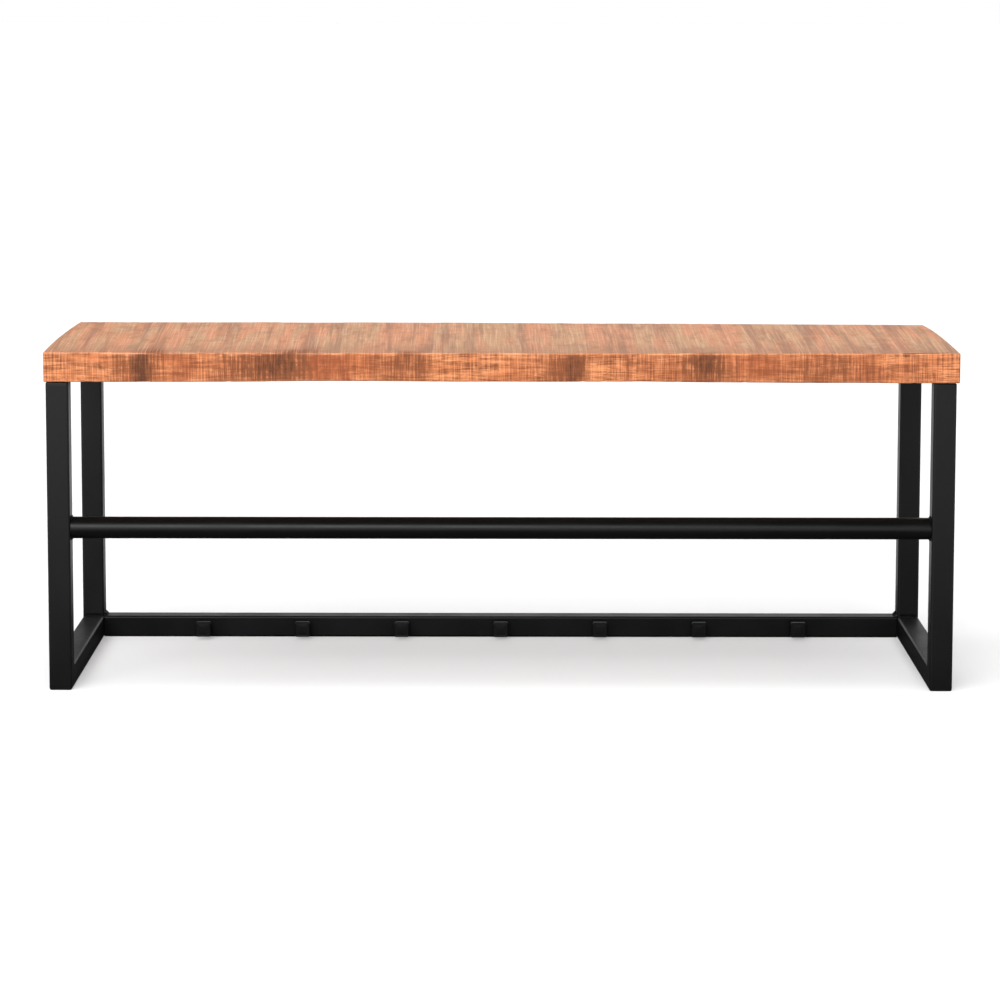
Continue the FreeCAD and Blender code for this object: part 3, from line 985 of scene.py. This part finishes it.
# bars that stay as they are

for nodeName in ("slab_strap_left", "slab_strap_right", "rear_wall_strap"):
    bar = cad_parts[nodeName]
    bar.data.materials.clear()
    bar.data.materials.append(barBlack)
print("bars coated: 3")


# room, light and camera

room = {
    "half": 60.0,
    "cells": 20,
    "pale": (0.62, 0.62, 0.62),
    "cloudy": (0.61, 0.61, 0.61),
    "lift": 0.30,                # light of the floor's own, seen only by the camera
    "nearTone": 0.05,            # brightness of the floor in reflections: under the frame,
    "frontTone": 0.50,           # in front of it,
    "sideTone": 0.45,            # and behind or beside it
    "worldPale": 1.0,            # brightness of the world: to the camera,
    "worldLow": 0.62,            # for light from the horizon,
    "worldHigh": 0.01,           # and for light from above
}


def makeRoom():
    # a square of floor, drawn as a grid that is finer towards the middle: place = half side x share cubed
    cells = room["cells"]
    share = np.linspace(-1, 1, cells + 1)
    x, y = np.meshgrid(room["half"] * share ** 3, room["half"] * share ** 3)
    points = np.stack([x.ravel(), y.ravel(), np.zeros(x.size)], -1)
    corner = (np.arange(cells)[:, None] * (cells + 1) + np.arange(cells)[None, :]).ravel()
    faces = np.stack([corner, corner + 1, corner + cells + 2, corner + cells + 1], -1)
    mesh = bpy.data.meshes.new("paleFloor")
    mesh.from_pydata(points.tolist(), [], faces.tolist())
    material, tree, surface, place = newMaterial("paleFloor", room["pale"])
    path = addNode(tree, "ShaderNodeLightPath").outputs
    tone = spread(tree, noiseOf(tree, place, 3.0, 2.0), 0.3, 0.7, 0.985, 1.0)
    pale = mixColour(tree, tone, (*room["cloudy"], 1), (*room["pale"], 1))
    # in reflections the floor is dark under the frame and brighter out in front, behind and beside it
    x, y = axesOf(tree, place)[:2]
    outside = maths(tree, "MAXIMUM", maths(tree, "SUBTRACT", maths(tree, "ABSOLUTE", x), 0.35), y)
    tone = maths(tree, "MAXIMUM", spread(tree, y, -1.6, -0.6, room["frontTone"], room["nearTone"]),
                 spread(tree, outside, 0.30, 0.60, room["nearTone"], room["sideTone"]))
    colour = mixColour(tree, path["Is Camera Ray"], tone, pale)
    tree.links.new(colour, surface.inputs["Base Color"])
    tree.links.new(path["Is Camera Ray"], surface.inputs["Emission Color"])
    surface.inputs["Emission Strength"].default_value = room["lift"]
    surface.inputs["Roughness"].default_value = 0.9
    surface.inputs["Specular IOR Level"].default_value = 0.0
    # seen from below, the floor is clear
    clear = addNode(tree, "ShaderNodeBsdfTransparent").outputs[0]
    under = addNode(tree, "ShaderNodeNewGeometry").outputs["Backfacing"]
    both = addNode(tree, "ShaderNodeMixShader", {0: under, 1: surface.outputs[0], 2: clear}).outputs[0]
    output = next(node for node in tree.nodes if node.type == "OUTPUT_MATERIAL")
    tree.links.new(both, output.inputs["Surface"])
    mesh.materials.append(material)
    floor = addObject("paleFloor", mesh)


suns = {
    # name: where it shines from, strength, width of its disc in degrees
    "topSun": ((-0.15, -0.25, 1.0), 3.15, 70),
    "frontSun": ((-0.12, -1.0, 0.30), 2.35, 60),
}
softBoxes = {
    # name: place, width, height, watts
    "frontBox": ((-1.3, -3.3, 1.75), 3.4, 1.7, 60.0),
    "backBox": ((0.7, 3.4, 2.3), 3.0, 1.3, 17.0),
}


boxTarget = (0, 0, 0.2)      # every box looks here


def placeLight(data, source, place=(0, 0, 0), mirrored=True):
    # turned so that its beam comes from the source's direction
    light = addObject(data.name, data)
    light.location = place
    light.rotation_euler = Vector(source).to_track_quat("Z", "Y").to_euler()
    light.visible_glossy = mirrored


def makeLights():
    # wide suns that leave no reflections, and boxes that leave theirs on the coat
    for name, (source, strength, width) in suns.items():
        data = bpy.data.lights.new(name, "SUN")
        data.energy, data.angle = strength, radians(width)
        placeLight(data, source, mirrored=False)
    for name, (place, width, height, watts) in softBoxes.items():
        data = bpy.data.lights.new(name, "AREA")
        data.shape = "RECTANGLE"
        data.size, data.size_y, data.energy = width, height, watts
        placeLight(data, Vector(place) - Vector(boxTarget), place)

    # the world is white to the camera, and for light it dims from the horizon upwards
    world = bpy.data.worlds.new("studio")
    world.use_nodes = True
    tree = world.node_tree
    path = addNode(tree, "ShaderNodeLightPath").outputs
    towards = addNode(tree, "ShaderNodeTexCoord").outputs["Generated"]
    dim = spread(tree, axesOf(tree, towards)[2], 0.12, 0.50, room["worldLow"], room["worldHigh"])
    strength = spread(tree, path["Is Camera Ray"], 0.0, 1.0, dim, room["worldPale"], False)
    background = tree.nodes["Background"].inputs
    background[0].default_value = (1, 1, 1, 1)
    tree.links.new(strength, background[1])
    bpy.context.scene.world = world


view = {
    "place": (-0.0019, -3.8952, 0.7722),
    "pitch": 0.11463,            # radians below level
    "roll": -0.00145,
    "lens": 124.495,
    "shiftY": -0.120,
    "sensor": 36.0,
    "farEnd": 100,
}


def makeCamera():
    # it looks along +Y, tipped down by the pitch
    data = bpy.data.cameras.new("camera")
    data.sensor_width = view["sensor"]
    data.lens = view["lens"]
    data.shift_y = view["shiftY"]
    data.clip_end = view["farEnd"]
    camera = addObject("camera", data)
    camera.location = view["place"]
    camera.rotation_euler = Euler((pi / 2 - view["pitch"], view["roll"], 0), "XYZ")
    bpy.context.scene.camera = camera


makeRoom()
makeLights()
makeCamera()
bpy.context.scene.view_settings.view_transform = "Standard"
print("room, lights and camera made")
